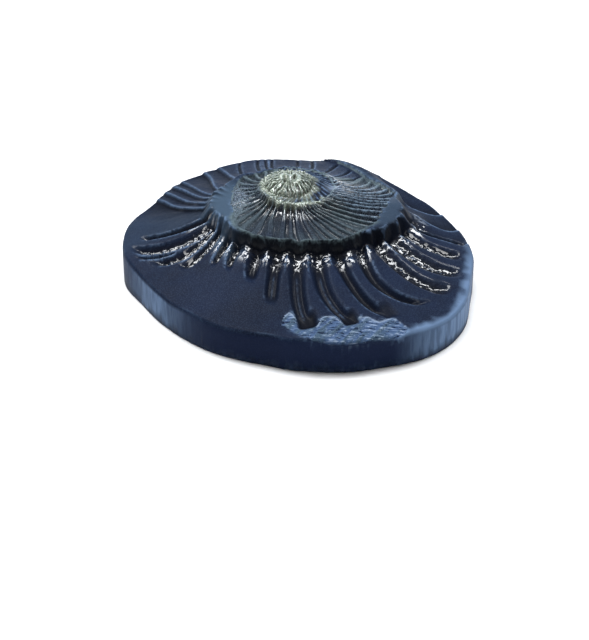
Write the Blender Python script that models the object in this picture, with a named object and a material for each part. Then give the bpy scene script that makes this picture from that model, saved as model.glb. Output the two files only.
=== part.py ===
"""A pressed shale disc that holds the raised impression of an ammonite, as one solid.

Lengths are in millimetres up to the last step, which turns them into metres. The disc lies flat on its
underside, +Z is up, the side that faces the viewer is -Y, and the origin is the middle of the underside.
"""

import bmesh
import bpy
import numpy as np

# Size and density of the mesh
MM = 0.001
SPOKES = 432
TOP_RINGS = 150
WALL_ROWS = 8
TRIANGLES = 9200

# Outline of the disc, one value every 15 degrees anticlockwise from +X about the disc's middle
DISC_RADII = (
    40.3, 39.5, 38.5, 38.3, 38.3, 41.0, 40.2, 41.3, 40.6, 41.0, 40.2, 40.7,
    39.3, 36.4, 35.1, 34.8, 34.9, 35.3, 37.0, 39.0, 40.5, 42.4, 41.9, 40.4,
)
RIM_HEIGHTS = (
    8.8, 9.0, 9.3, 10.8, 13.2, 13.2, 12.7, 12.7, 12.1, 11.1, 10.1, 9.5,
    9.0, 8.5, 8.3, 8.3, 8.4, 8.7, 9.3, 9.4, 9.1, 8.5, 8.4, 8.6,
)
RIM_ROUNDING = 0.9
FOOT_ROUNDING = 0.4

# Coil of the ammonite: the edge between one whorl and the next is a log spiral that falls as it widens
COIL_X, COIL_Y = -1.7, 8.0
SEAM_RADIUS = 22.2
SEAM_ANGLE = 720.0
SEAM_GROWTH = 0.1245
APEX_HEIGHT = 24.9
CONE_FALL = 0.405
SEAM_FADES = (760.0, 800.0)
WOBBLES = ((7.3, 0.010), (13.1, 0.007))
INNER_TURNS = (-1, 0, 1, 2)

# Step outside the whorl edge: spiral angle, width of the flat shoulder, height and width of the fall
STEPS = (
    (-360, 0.1, 0.3, 0.4),
    (0, 0.2, 0.6, 0.6),
    (180, 0.3, 0.8, 0.8),
    (270, 0.2, 1.0, 0.8),
    (350, 1.6, 0.7, 1.8),
    (390, 0.8, 1.0, 1.2),
    (450, 0.3, 2.2, 1.0),
    (510, 1.2, 2.6, 2.0),
    (540, 2.5, 2.8, 3.0),
    (570, 1.8, 2.8, 2.4),
    (600, 0.6, 2.8, 1.4),
    (630, 0.3, 2.7, 1.0),
    (675, 0.8, 2.7, 1.4),
    (695, 2.4, 2.7, 2.4),
    (720, 3.4, 2.9, 3.2),
    (750, 3.8, 3.2, 4.0),
    (800, 6.0, 3.2, 4.0),
)
SHOULDER_TILT = 0.04
MOST_SHOULDER = 0.5
MOST_FOOT = 0.9
MOST_FALL = 0.85
FLANK_SAG = 0.10
LIP_HEIGHT = 0.15
LIP_WIDTH = 0.5
WALL_SCALLOP = 1.1

# Grooves pressed by the ribs of the outer whorl: spiral angle at the inner end, half way and outer end,
# share of the flank where the groove starts and stops, and its width
GROOVES = (
    (396, 410, 416, 0.10, 1.00, 1.5),
    (412, 421, 427, 0.08, 1.00, 1.7),
    (428, 432, 435, 0.06, 1.00, 1.8),
    (448, 445, 443, 0.05, 1.00, 1.9),
    (462, 454, 451, 0.04, 1.00, 1.9),
    (476, 463, 459, 0.04, 1.00, 2.0),
    (490, 473, 468, 0.04, 1.00, 2.0),
    (503, 484, 477, 0.04, 1.00, 2.0),
    (517, 494, 487, 0.04, 0.98, 2.0),
    (530, 505, 498, 0.05, 0.96, 2.0),
    (541, 515, 508, 0.08, 0.86, 1.7),
    (548, 530, 518, 0.12, 0.74, 1.4),
    (564, 549, 547, 0.08, 0.88, 2.0),
    (570, 560, 553, 0.11, 0.90, 2.1),
    (574, 568, 563, 0.10, 0.70, 1.8),
    (579, 573, 573, 0.08, 0.63, 2.0),
    (585, 584, 586, 0.06, 0.44, 1.7),
    (594, 593, 596, 0.05, 0.39, 1.7),
    (605, 608, 611, 0.04, 0.43, 1.9),
    (618, 620, 623, 0.03, 0.65, 2.2),
    (625, 625, 625, 0.03, 0.27, 1.4),
    (632, 633, 636, 0.02, 0.79, 2.2),
    (639, 638, 638, 0.03, 0.24, 1.4),
    (645, 643, 648, 0.02, 0.76, 2.2),
    (653, 651, 650, 0.04, 0.27, 1.4),
    (661, 656, 656, 0.03, 0.60, 2.1),
    (672, 664, 665, 0.04, 0.70, 2.1),
    (681, 671, 675, 0.05, 0.80, 2.2),
    (691, 679, 685, 0.07, 0.90, 2.6),
    (703, 690, 695, 0.12, 0.92, 2.7),
    (715, 702, 705, 0.13, 0.88, 2.4),
    (724, 712, 713, 0.16, 0.96, 2.2),
    (734, 723, 724, 0.24, 0.94, 1.8),
    (744, 736, 735, 0.34, 1.00, 1.8),
    (754, 748, 746, 0.44, 1.00, 1.6),
)
GROOVE_DEPTH = 1.0
BACK_GROOVE_DEPTH = 0.5
DEEPENS = (500.0, 600.0)

# Fine ribs of the inner whorls: how far a rib that ends at an angle leans back where it starts
RIB_LEANS = (
    (-360, 0),
    (120, 30),
    (180, 27),
    (228, 10),
    (256, 2),
    (301, 8),
    (336, 18),
    (353, 14),
    (378, -6),
    (403, -30),
    (420, -38),
    (450, 0),
)
RIBS_PER_TURN = 40
FINE_RIB_DEPTH = 0.45
FINE_RIBS_END = (398.0, 412.0)
RIB_STOPS = ((0, 1.1), (120, 1.0), (180, 0.80), (225, 0.86), (260, 1.1))

# Knobbly dome in the middle, and the terrace round its front
DOME_RADIUS = 6.6
DOME_FOOT = 21.5
DOME_RISE = 2.7
KNOB_HEIGHT = 0.4
KNOB_SIZE = 1.6
TERRACE_TILT = 0.05
TERRACE_FADES = (-70.0, 20.0)

# Splintered chip at the front of the rim, between two angles about the coil
CHIP_START, CHIP_END = 264.0, 306.0
CHIP_REACH = 6.2
CHIP_DEPTH = 0.7
SPLINTER_ANGLE = 38.0
SPLINTER_DEPTH = 0.3
SPLINTER_SIZE = 1.3
SPLINTER_STRETCH = 5.0

# Rough undulation of the whole face
LUMP_HEIGHT = 0.22
LUMP_SIZE = 7.0

# Dark blue-grey shale
SHALE_COLOUR = (0.03, 0.045, 0.07, 1.0)
SHALE_ROUGHNESS = 0.6


def smooth_step(low, high, value):
    share = np.clip((value - low) / (high - low), 0.0, 1.0)
    return share * share * (3.0 - 2.0 * share)


def around(values, degrees):
    """Smooth closed curve through values spread evenly over a turn."""
    values = np.asarray(values, float)
    count = len(values)
    place = np.asarray(degrees, float) % 360.0 * count / 360.0
    first = np.floor(place).astype(int)
    share = place - first
    before, start, end, after = (values[(first + step) % count] for step in (-1, 0, 1, 2))
    bend = 2.0 * before - 5.0 * start + 4.0 * end - after
    twist = 3.0 * (start - end) + after - before
    return start + 0.5 * share * (end - before + share * (bend + share * twist))


def value_noise(x, y, size, seed):
    """Smooth noise between -1 and 1 whose lumps are about the given size."""

    def corner(column, row):
        mixed = np.sin(column * 127.1 + row * 311.7 + seed * 74.7) * 43758.5453
        return 2.0 * (mixed - np.floor(mixed)) - 1.0

    column, row = np.floor(x / size), np.floor(y / size)
    across = x / size - column
    along = y / size - row
    across = across * across * (3.0 - 2.0 * across)
    along = along * along * (3.0 - 2.0 * along)
    near = corner(column, row) * (1.0 - across) + corner(column + 1, row) * across
    far = corner(column, row + 1) * (1.0 - across) + corner(column + 1, row + 1) * across
    return near * (1.0 - along) + far * along


def plain_spiral(degrees):
    return SEAM_RADIUS * np.exp(SEAM_GROWTH * np.radians(degrees - SEAM_ANGLE))


def seam_radius(degrees):
    turns = np.radians(degrees)
    return plain_spiral(degrees) * (1.0 + sum(size * np.sin(rate * turns) for rate, size in WOBBLES))


def seam_height(degrees):
    return APEX_HEIGHT - CONE_FALL * plain_spiral(degrees)


def whorl_at(radius, degrees, rim_radius, rim_height):
    """Spiral angle of the whorl edge inside each point, and the radii and heights of the edges round it."""
    spiral = np.full_like(radius, -720.0) + degrees
    inner = seam_radius(spiral)
    inner_height = seam_height(spiral)
    outer = seam_radius(spiral + 360.0)
    outer_height = seam_height(spiral + 360.0)
    for turn in INNER_TURNS:
        edge_angle = degrees + 360.0 * turn
        fade = smooth_step(*SEAM_FADES, edge_angle)
        next_fade = smooth_step(*SEAM_FADES, edge_angle + 360.0)
        edge = seam_radius(edge_angle) * (1.0 - fade) + rim_radius * fade
        following = seam_radius(edge_angle + 360.0) * (1.0 - next_fade) + rim_radius * next_fade
        inside = (radius >= edge) & (edge < rim_radius - 0.05)
        spiral = np.where(inside, edge_angle, spiral)
        inner = np.where(inside, edge, inner)
        outer = np.where(inside, np.minimum(following, rim_radius), outer)
        edge_height = seam_height(edge_angle) * (1.0 - fade) + rim_height * fade
        next_height = seam_height(edge_angle + 360.0) * (1.0 - next_fade) + rim_height * next_fade
        inner_height = np.where(inside, edge_height, inner_height)
        outer_height = np.where(inside, next_height, outer_height)
    return spiral, inner, outer, inner_height, outer_height


def groove_depths(spiral, share, radius):
    """Depth of the rib grooves of the outer whorl at each point."""
    depth = np.zeros_like(radius)
    for start_angle, middle_angle, end_angle, start, stop, width in GROOVES:
        reach = np.clip((2.0 * share - start - stop) / (stop - start), -1.3, 1.3)
        bow = 0.5 * (start_angle + end_angle) - middle_angle
        line = middle_angle + 0.5 * (end_angle - start_angle) * reach + bow * reach * reach
        aside = np.radians(spiral - line) * radius
        profile = np.exp(-((np.abs(aside) / (0.5 * width)) ** 3))
        opening = smooth_step(start - 0.04, start + 0.04, share)
        ends = opening * (1.0 - smooth_step(stop - 0.02, stop + 0.02, share))
        deep = BACK_GROOVE_DEPTH + (GROOVE_DEPTH - BACK_GROOVE_DEPTH) * smooth_step(*DEEPENS, middle_angle)
        depth = np.maximum(depth, deep * profile * ends)
    return depth


def rib_label(spiral, share):
    """Angle at which the rib through each point reaches the outer edge of its whorl, found by halving."""
    angles, leans = zip(*RIB_LEANS)
    back = (1.0 - share) ** 2
    low, high = spiral - 60.0, spiral + 60.0
    for _ in range(14):
        middle = 0.5 * (low + high)
        past = middle + back * np.interp(middle, angles, leans) > spiral
        low, high = np.where(past, low, middle), np.where(past, middle, high)
    return 0.5 * (low + high)


def fine_ribs(spiral, share, width):
    """Height of the fine ribs of the inner whorls at each point."""
    label = rib_label(spiral, share)
    valley = 1.0 - np.abs(np.cos(np.radians(0.5 * label * RIBS_PER_TURN)))
    fading = 1.0 - smooth_step(*FINE_RIBS_END, label)
    stop = np.interp(spiral, *zip(*RIB_STOPS))
    ends = smooth_step(-0.1, 0.15, share) * (1.0 - smooth_step(stop - 0.06, stop + 0.02, share))
    return -FINE_RIB_DEPTH * np.clip(width / 10.0, 0.5, 1.0) * valley * fading * ends


def chip_depth(x, y, radius, degrees, rim_radius):
    """Depth of the splintered chip at the front of the rim."""
    along = np.clip((degrees - CHIP_START) / (CHIP_END - CHIP_START), 0.0, 1.0)
    reach = CHIP_REACH * np.sin(np.pi * along) ** 0.5
    inside = smooth_step(0.0, 0.4, reach - (rim_radius - radius))
    turn = np.radians(SPLINTER_ANGLE)
    across = y * np.cos(turn) - x * np.sin(turn)
    length = x * np.cos(turn) + y * np.sin(turn)
    splinters = SPLINTER_DEPTH * value_noise(length / SPLINTER_STRETCH, across, SPLINTER_SIZE, 5.0)
    return inside * (CHIP_DEPTH + splinters)


def face_height(x, y, rim_radius, rim_height):
    """Height of the upper face at points given from the middle of the coil."""
    radius = np.hypot(x, y)
    degrees = np.degrees(np.arctan2(y, x)) % 360.0
    spiral, inner, outer, inner_height, outer_height = whorl_at(radius, degrees, rim_radius, rim_height)
    angles, shoulders, falls, fall_widths = zip(*STEPS)
    shoulder = np.interp(spiral, angles, shoulders)
    fall = np.interp(spiral, angles, falls)
    fall_width = np.interp(spiral, angles, fall_widths)
    width = np.maximum(outer - inner, 0.1)
    share = np.clip((radius - inner) / width, 0.0, 1.0)
    grooves = groove_depths(spiral, share, radius)
    away = radius - inner + WALL_SCALLOP * grooves * (1.0 - share) ** 4

    fall = np.clip(fall, 0.0, MOST_FALL * (inner_height - outer_height))
    shoulder = np.minimum(shoulder, MOST_SHOULDER * width)
    foot = np.minimum(shoulder + fall_width, MOST_FOOT * width)
    slope_share = np.clip((away - foot) / np.maximum(width - foot, 0.1), 0.0, 1.0)
    sagged = FLANK_SAG * width * slope_share * (1.0 - slope_share)
    flank = (inner_height - fall) + (outer_height - inner_height + fall) * slope_share - sagged
    terrace = outer_height + TERRACE_TILT * (width - away)
    flank = terrace + (flank - terrace) * smooth_step(*TERRACE_FADES, spiral)
    stepped = inner_height - SHOULDER_TILT * away + (flank - inner_height) * smooth_step(shoulder, foot, away)
    lip = LIP_HEIGHT * np.exp(-(((outer - radius) / LIP_WIDTH) ** 2)) * (outer < rim_radius - 1.0)
    height = stepped + lip
    bulge = DOME_FOOT + DOME_RISE * np.sqrt(np.clip(1.0 - (radius / DOME_RADIUS) ** 2, 0.0, 1.0))
    height = np.where(radius < DOME_RADIUS, np.maximum(height * (spiral > 0.0), bulge), height)

    height = height + fine_ribs(spiral, share, width)
    height = height - grooves - chip_depth(x, y, radius, degrees, rim_radius)
    knobs = KNOB_HEIGHT * (1.0 - smooth_step(0.3, 0.8, radius / DOME_RADIUS))
    height = height + knobs * value_noise(x, y, KNOB_SIZE, 3.0)
    return height + LUMP_HEIGHT * value_noise(x, y, LUMP_SIZE, 1.0)


def outline_box_middle():
    """Middle of the outline's bounding rectangle, measured from the middle of its radii."""
    every = np.arange(0.0, 360.0, 0.25)
    reach = around(DISC_RADII, every)
    outline = np.stack([reach * np.cos(np.radians(every)), reach * np.sin(np.radians(every))])
    return 0.5 * (outline.max(axis=1) + outline.min(axis=1))


def unit_disc():
    """Closed disc of radius 1 and height 1, spun from half of its section."""
    mesh = bmesh.new()
    section = [(ring / TOP_RINGS, 1.0) for ring in range(TOP_RINGS + 1)]
    section += [(1.0, 1.0 - drop / WALL_ROWS) for drop in range(1, WALL_ROWS + 1)]
    section += [(0.5, 0.0), (0.0, 0.0)]
    corners = [mesh.verts.new((across, 0.0, level)) for across, level in section]
    edges = [mesh.edges.new(pair) for pair in zip(corners[:-1], corners[1:])]
    bmesh.ops.spin(
        mesh,
        geom=corners + edges,
        cent=(0.0, 0.0, 0.0),
        axis=(0.0, 0.0, 1.0),
        angle=2.0 * np.pi,
        steps=SPOKES,
        use_merge=True,
    )
    bmesh.ops.remove_doubles(mesh, verts=mesh.verts, dist=0.0001)
    bmesh.ops.recalc_face_normals(mesh, faces=mesh.faces)
    return mesh


def fossil_points(spots):
    """Places on the fossil, in millimetres, of points of the unit disc."""
    across = np.hypot(spots[:, 0], spots[:, 1])
    degrees = np.degrees(np.arctan2(spots[:, 1], spots[:, 0])) % 360.0
    middle_x, middle_y = outline_box_middle()
    reach = around(DISC_RADII, degrees)
    out_x = reach * np.cos(np.radians(degrees)) - COIL_X
    out_y = reach * np.sin(np.radians(degrees)) - COIL_Y
    rim_radius = np.hypot(out_x, out_y)
    height = face_height(across * out_x, across * out_y, rim_radius, around(RIM_HEIGHTS, degrees))
    worn = np.clip(1.0 - rim_radius * (1.0 - across) / RIM_ROUNDING, 0.0, 1.0)
    height = height - RIM_ROUNDING * (1.0 - np.sqrt(1.0 - worn * worn))
    level = spots[:, 2]
    inset = 1.0 - FOOT_ROUNDING / rim_radius * (level < 0.5 / WALL_ROWS)
    x = COIL_X - middle_x + across * out_x * inset
    y = COIL_Y - middle_y + across * out_y * inset
    return np.stack([x, y, level * height], axis=1)


def shale():
    material = bpy.data.materials.new("shale")
    material.use_nodes = True
    surface = material.node_tree.nodes["Principled BSDF"]
    surface.inputs["Base Color"].default_value = SHALE_COLOUR
    surface.inputs["Roughness"].default_value = SHALE_ROUGHNESS
    return material


def main():
    for old in list(bpy.data.objects):
        bpy.data.objects.remove(old, do_unlink=True)
    home = bpy.data.collections.new("ammonite_fossil")
    bpy.context.scene.collection.children.link(home)

    mesh = unit_disc()
    data = bpy.data.meshes.new("ammonite_fossil")
    mesh.to_mesh(data)
    mesh.free()
    spots = np.empty(3 * len(data.vertices))
    data.vertices.foreach_get("co", spots)
    data.vertices.foreach_set("co", (MM * fossil_points(spots.reshape(-1, 3))).ravel())
    data.update()
    data.materials.append(shale())

    fossil = bpy.data.objects.new("ammonite_fossil", data)
    home.objects.link(fossil)
    data.shade_smooth()
    thinned = fossil.modifiers.new("thinned", "DECIMATE")
    thinned.ratio = TRIANGLES / len(data.loop_triangles)
    thinned.use_collapse_triangulate = True


if __name__ == "__main__":
    main()
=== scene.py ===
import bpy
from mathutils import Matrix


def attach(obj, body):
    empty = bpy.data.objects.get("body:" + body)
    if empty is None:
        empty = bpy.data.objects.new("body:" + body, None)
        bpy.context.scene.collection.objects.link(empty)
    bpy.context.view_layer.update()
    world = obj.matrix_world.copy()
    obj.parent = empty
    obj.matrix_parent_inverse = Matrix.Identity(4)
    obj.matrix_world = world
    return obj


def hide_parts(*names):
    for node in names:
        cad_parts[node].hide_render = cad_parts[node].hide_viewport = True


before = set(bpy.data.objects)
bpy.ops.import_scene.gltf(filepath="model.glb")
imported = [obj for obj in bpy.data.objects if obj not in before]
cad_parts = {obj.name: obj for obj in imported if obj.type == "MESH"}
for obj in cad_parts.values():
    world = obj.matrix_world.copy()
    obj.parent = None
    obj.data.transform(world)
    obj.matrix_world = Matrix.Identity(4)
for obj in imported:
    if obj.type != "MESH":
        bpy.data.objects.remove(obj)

from types import SimpleNamespace

import bmesh
import bpy
import numpy as np
from mathutils import Vector

bl_info = {
    "name": "Ammonite in Shale",
    "version": (1, 0, 0),
    "blender": (4, 5, 0),
    "location": "3D View > Sidebar > Fossil",
    "description": "Carves and colours the impression of an ammonite in a trimmed disc of shale",
    "category": "Add Mesh",
}

# Lengths are in millimetres in the relief functions, and in metres where a mesh or a light is placed
MM = 0.001
CAD_NODE = "ammonite_fossil"

# Density of the mesh
SPOKES = 840
TOP_CUTS = (64, 3)
WALL_ROWS = 30
UNDER_ROWS = 8
TRIANGLES = 192000

# Outline of the disc, one value every 15 degrees anticlockwise from +X about the disc's middle
DISC_RADII = (
    39.9, 39.5, 38.5, 38.3, 38.3, 41.0, 40.2, 41.3, 40.6, 41.0, 40.3, 41.0,
    39.8, 36.4, 35.1, 34.8, 34.9, 35.3, 37.0, 39.0, 40.5, 42.4, 41.9, 40.1,
)
RIM_HEIGHTS = (
    8.8, 9.0, 9.9, 10.4, 12.4, 12.9, 13.4, 13.5, 13.4, 12.5, 11.5, 10.8,
    9.6, 8.6, 8.3, 8.3, 8.4, 8.7, 9.3, 9.4, 9.1, 8.5, 8.4, 8.6,
)
RIM_ROUNDING = 0.9
FOOT_ROUNDING = 0.4

# Coil of the ammonite: the edge between one whorl and the next is a log spiral that falls as it widens
COIL_X, COIL_Y = -1.7, 8.0
SEAM_RADIUS = 22.2
SEAM_ANGLE = 720.0
SEAM_GROWTH = 0.1245
APEX_HEIGHT = 24.9
CONE_FALL = 0.405
SEAM_FADES = (760.0, 800.0)
WOBBLES = ((7.3, 0.010), (13.1, 0.007))
INNER_TURNS = (-1, 0, 1, 2)
# How far the edge of the inner whorls strays from the plain spiral
SEAM_SHIFTS = (
    (505, 0.0), (529, -1.2), (551, -2.1), (567, -1.5), (577, 0.2), (584, 1.1), (603, 1.1), (626, 0.4),
    (637, 0.1), (643, -0.9), (649, -0.1), (657, 0.3), (671, 0.7), (681, 0.2), (687, -0.5), (704, -0.7),
    (712, -1.0), (719, -0.6), (727, 0.3), (734, 1.3), (740, 2.3), (745, 3.2), (752, 3.2), (765, 2.6),
)
RIDGE_DROP = 1.3
RIDGE_DROP_ANGLES = (724.0, 748.0)
# Crumbling of the edge: height, and the spiral angles over which it comes and goes
SEAM_CHATTER = 0.34
SEAM_CHATTER_FROM = (380.0, 460.0)
INNER_CHATTER = 0.40
INNER_CHATTER_SPAN = ((130.0, 200.0), (340.0, 380.0))

# Step outside the whorl edge: spiral angle, width of the flat shoulder, height and width of the fall
STEPS = (
    (-360, 0.1, 0.3, 0.4),
    (0, 0.2, 0.6, 0.6),
    (180, 0.3, 1.0, 0.8),
    (270, 0.2, 1.3, 0.9),
    (350, 1.6, 0.7, 1.8),
    (390, 0.8, 1.0, 1.2),
    (450, 0.3, 2.2, 1.0),
    (510, 1.2, 2.6, 2.0),
    (530, 3.4, 2.8, 3.0),
    (550, 4.6, 2.8, 2.8),
    (566, 3.6, 2.8, 2.4),
    (578, 1.2, 2.8, 2.0),
    (600, 0.1, 2.8, 1.2),
    (630, 0.1, 2.7, 1.0),
    (675, 0.2, 2.7, 1.4),
    (695, 2.4, 2.7, 2.4),
    (712, 4.2, 2.9, 3.0),
    (727, 2.6, 2.9, 3.0),
    (734, 1.3, 3.2, 2.6),
    (740, 0.4, 3.6, 2.6),
    (752, 0.3, 3.6, 3.0),
    (800, 3.0, 3.2, 4.0),
)
SHOULDER_TILT = 0.04
MOST_SHOULDER = 0.5
MOST_FOOT = 0.9
MOST_FALL = 0.85
FLANK_SAG = 0.10
LIP_HEIGHT = 0.20
LIP_WIDTH = 0.30
WALL_SCALLOP = 0.5
SMALLEST_WIDTH = 0.1
# Crumbled ledge below the dome: how far from the coil's middle it lies, its angles,
# and the angles and width of the film that runs on outside it
LEDGE_REACH = 12.0
LEDGE_START = 11.0
LEDGE_SPAN = ((215.0, 240.0), (318.0, 335.0))
OUTSIDE_SPAN = ((222.0, 240.0), (318.0, 330.0))
OUTSIDE_WIDTH = (0.5, 1.3)

# Grooves pressed by the ribs of the outer whorl: spiral angle at the inner end, half way and outer end,
# share of the flank where the groove starts and stops, its width, and the height of the spine along its floor
GROOVES = (
    (396, 408, 413, 0.10, 1.00, 1.3, 0.0),
    (409, 417, 421, 0.08, 1.00, 1.3, 0.0),
    (423, 427, 429, 0.06, 1.00, 1.3, 0.0),
    (433, 437, 441, 0.05, 1.00, 1.2, 0.0),
    (445, 446, 447, 0.04, 1.00, 1.2, 0.0),
    (464, 461, 458, 0.04, 1.00, 1.0, 0.0),
    (468, 464, 461, 0.04, 1.00, 0.9, 0.0),
    (473, 469, 464, 0.04, 1.00, 1.2, 0.0),
    (487, 480, 472, 0.04, 1.00, 1.1, 0.0),
    (557, 553, 547, 0.18, 0.84, 1.5, 0.0),
    (564, 562, 552, 0.19, 0.93, 2.6, 0.5),
    (565, 562, 558, 0.64, 0.92, 1.0, 0.0),
    (566, 571, 564, 0.18, 0.84, 2.3, 0.4),
    (573, 578, 576, 0.13, 0.66, 2.2, 0.3),
    (586, 588, 590, 0.08, 0.42, 1.6, 0.0),
    (595, 596, 599, 0.06, 0.38, 1.7, 0.0),
    (609, 610, 612, 0.04, 0.42, 2.4, 0.2),
    (622, 622, 623, 0.03, 0.62, 2.6, 0.8),
    (635, 633, 635, 0.03, 0.80, 3.0, 0.9),
    (648, 644, 649, 0.03, 0.79, 2.9, 0.8),
    (660, 656, 660, 0.03, 0.79, 2.3, 0.0),
    (675, 666, 675, 0.04, 0.79, 2.5, 0.0),
    (687, 681, 686, 0.08, 0.87, 3.4, 0.3),
    (696, 692, 697, 0.14, 0.91, 3.6, 0.4),
    (706, 704, 706, 0.22, 0.89, 2.8, 0.2),
    (713, 714, 715, 0.40, 0.97, 1.8, 0.0),
)
# Overlapping lands at the back left and the back right: spiral angle of each crest at its inner end,
# half way and at the rim, and the share of the flank where it starts
SHINGLES = (
    (
        (494, 486, 483, 0.16),
        (524, 499, 490, 0.05),
        (532, 510, 501, 0.04),
        (539, 515, 506, 0.07),
        (544, 521, 511, 0.12),
        (548, 527, 516, 0.16),
        (560, 546, 534, 0.16),
    ),
    (
        (717, 712, 716, 0.22),
        (730, 722, 725, 0.30),
        (745, 735, 735, 0.32),
        (756, 748, 745, 0.42),
    ),
)
SHINGLE_DEPTH = 0.75
SHINGLE_DROP = 0.55
BACK_GROOVE_DEPTH = 0.34
DEEPENS = (455.0, 575.0)
GROOVE_TAPER = 0.14
INNER_FLARE = 0.20
BACK_GROOVE_WIDTH = 0.62
GROOVE_EDGE = 2.8
GROOVE_FLOOR_ROUGHNESS = 0.20
SPINE_WIDTH = 0.22
SPINE_RISE = 0.75
SPINE_STARTS = (0.16, 0.34)
# A groove's flare and soft edge: the shares of the flank over which they go away, the angle where flares
# start, and how soft the edge is
FLARE_SHARES = (0.05, 0.35)
FLARE_FROM = 590
SOFT_SHARES = (0.08, 0.3)
SOFTENING = 0.4
# Spiral angles of the front grooves, and the distances from the ledge's foot over which their floors go dull
FRONT_SPAN = ((596.0, 612.0), (668.0, 690.0))
DULL_REACH = (2.6, 4.6)
# Pits where three of the ribs stood deepest: angle about the coil, distance from it, length, width and depth
PITS = (
    (275.2, 39.2, 5.0, 4.2, 1.3),
    (288.3, 40.0, 4.4, 3.8, 1.1),
    (300.8, 40.4, 4.6, 3.2, 0.7),
)

# Fine ribs of the inner whorls: how far the rib that ends at an angle leans, and the number of that rib
RIB_LEANS = (
    (-360, 10), (100, 24), (160, 22), (202, 17), (228, 2), (254, -5), (272, -1), (287, -3), (295, -11),
    (308, -20), (321, -24), (338, -35), (354, -35), (386, -37), (399, -34), (420, -28), (450, 0),
)
RIB_NUMBERS = (
    (-360, -58.5), (100, -12.5), (150, -8.0), (161, -7.0), (203, -3.0), (233, 0.0), (264, 3.0),
    (287, 6.0), (301, 8.0), (321, 11.0), (354, 15.0), (386, 20.0), (413, 24.0), (450, 29.0),
)
RIB_BEND = 1.2
FINE_RIBS_END = (410.0, 424.0)
RIB_STOPS = ((0, 1.1), (150, 1.0), (165, 0.85), (178, 0.55), (204, 0.55), (220, 0.9), (250, 1.1))
RIB_JITTER = 1.6
# Spiral angles of the broad ribs at the front, of the deep ones at the left back and of the fan at the right
BROAD_SPAN = ((210.0, 232.0), (300.0, 330.0))
LEFT_BACK_SPAN = ((90.0, 125.0), (178.0, 195.0))
FAN_SPAN = ((320.0, 345.0), (395.0, 410.0))
# Strength of the granular surface between the fine ribs, by spiral angle
GRANULAR = (
    (-360, 0.3), (150, 0.3), (172, 1.0), (205, 1.0), (222, 0.3), (255, 0.1), (330, 0.2), (352, 0.7),
    (400, 0.7), (420, 0.1),
)
GRANULAR_FROM, GRANULAR_TO = 100.0, 430.0
GRANULE_HEIGHT = 0.07
GRANULE_SIZE = 0.5

# Knobbly dome in the middle, its ribs and its crack, and the terrace round its front
DOME_RADIUS = 5.6
DOME_FRONT = 0.5
DOME_FRONT_ANGLE = 280.0
DOME_FRONT_SPREAD = 36.0
DOME_SHIFT = 0.4
DOME_FOOT = 21.2
DOME_RISE = 2.45
DOME_SIDE_POWER = 2.8
DOME_TOP_POWER = 0.55
DOME_RIBS = 31
DOME_RIB_DEPTH = 0.85
DOME_RIB_STARTS = (2.2, 3.4)
KNOB_SIZE = 1.0
KNOBS_FADE = (1.6, 4.6)
TERRACE_TILT = 0.05
TERRACE_FADES = (-70.0, 20.0)
CRACK = ((-1.4, -1.5), (-0.9, -0.2), (-0.1, 0.2), (0.7, 0.5), (1.0, 1.5))
CRACK_WIDTH = 0.24
CRACK_DEPTH = 0.55

# Splintered chip at the front of the rim: angle about the coil and distance from it of its upper edge
CHIP_EDGE = (
    (266.6, 46.0), (267.5, 38.5), (268.4, 36.6), (269.7, 36.2), (271.1, 36.8), (272.5, 38.2),
    (273.9, 40.4), (276.0, 40.5), (277.7, 41.5), (278.8, 40.5), (279.4, 39.0), (280.4, 38.6),
    (282.6, 38.5), (284.1, 38.9), (285.7, 40.9), (287.7, 41.5), (289.4, 41.8), (290.5, 40.4),
    (292.1, 40.2), (293.8, 40.9), (295.7, 42.5), (298.1, 42.8), (300.0, 42.4), (301.1, 43.4),
    (302.0, 47.0),
)
CHIP_DEPTH = 0.16
CHIP_FALL = 0.02
# Whole stone left between the chip and the rim, by angle
CHIP_GAP = ((266, 5.0), (269, 3.2), (272, 1.6), (275, 0.4), (277, -0.5), (297, -0.5), (300, 0.4), (303, 2.0))
SPLINTER_ANGLE = 55.0
SPLINTER_DEPTH = 0.22
SPLINTER_SIZE = 0.8
SPLINTER_STRETCH = 7.0

# Rough undulation of the whole face, from the broadest to the finest: height and size
LUMPS = ((0.22, 7.0, 1.0), (0.05, 2.6, 7.0), (0.022, 0.9, 9.0))
# Low ripples of the smooth shale, drawn out along the ribs
RIPPLE_HEIGHT = 0.16
RIPPLES_FROM, RIPPLES_TO = 520.0, 655.0
RIPPLE_SHARES = (0.35, 0.75)
# Flats and tool marks left on the side wall by the trimming
WALL_FLATS = 0.16
WALL_FLAT_SIZE = 9.0
WALL_MARKS = 0.012

# Spiral angles between which each finish comes and goes
STEEP_SPAN = ((555.0, 600.0), (700.0, 745.0))
WET_SPAN = ((548.0, 564.0), (712.0, 735.0))
SHINE_FROM = (195.0, 220.0)
SHINE_TO = (395.0, 408.0)
PALE_SHOULDER_SPAN = ((500.0, 535.0), (590.0, 606.0))
BACK_PALE_FROM = (686.0, 702.0)
BACK_PALE_TO = 790.0
LEFT_PALE_SPAN = ((526.0, 540.0), (548.0, 558.0))
FAN_TONE_SPAN = ((325.0, 345.0), (388.0, 402.0))
QUIET_SPAN = ((205.0, 225.0), (300.0, 325.0))
BACK_RIBS_SPAN = ((455.0, 475.0), (545.0, 560.0))
WHORL_FROM, WHORL_COLOUR_FROM, WHORL_TO = 60.0, 100.0, 412.0
EDGE_FROM, EDGE_TO = 570.0, 700.0
# Middle of the pale knot beside the dome, from the coil's middle, and its half widths
KNOT_X, KNOT_Y = 10.8, 0.4
KNOT_WIDTHS = (2.2, 1.8)
# Sides of the disc where the wall is pale, by angle about the disc's middle: partly pale worn stone, partly a
# painted reflection of the bright room where the wall is seen edge-on
PALE_SIDE_ANGLE = 330.0
PALE_LEFT_ANGLE = 205.0
PALE_LEFT_SPREAD = 16.0

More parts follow.
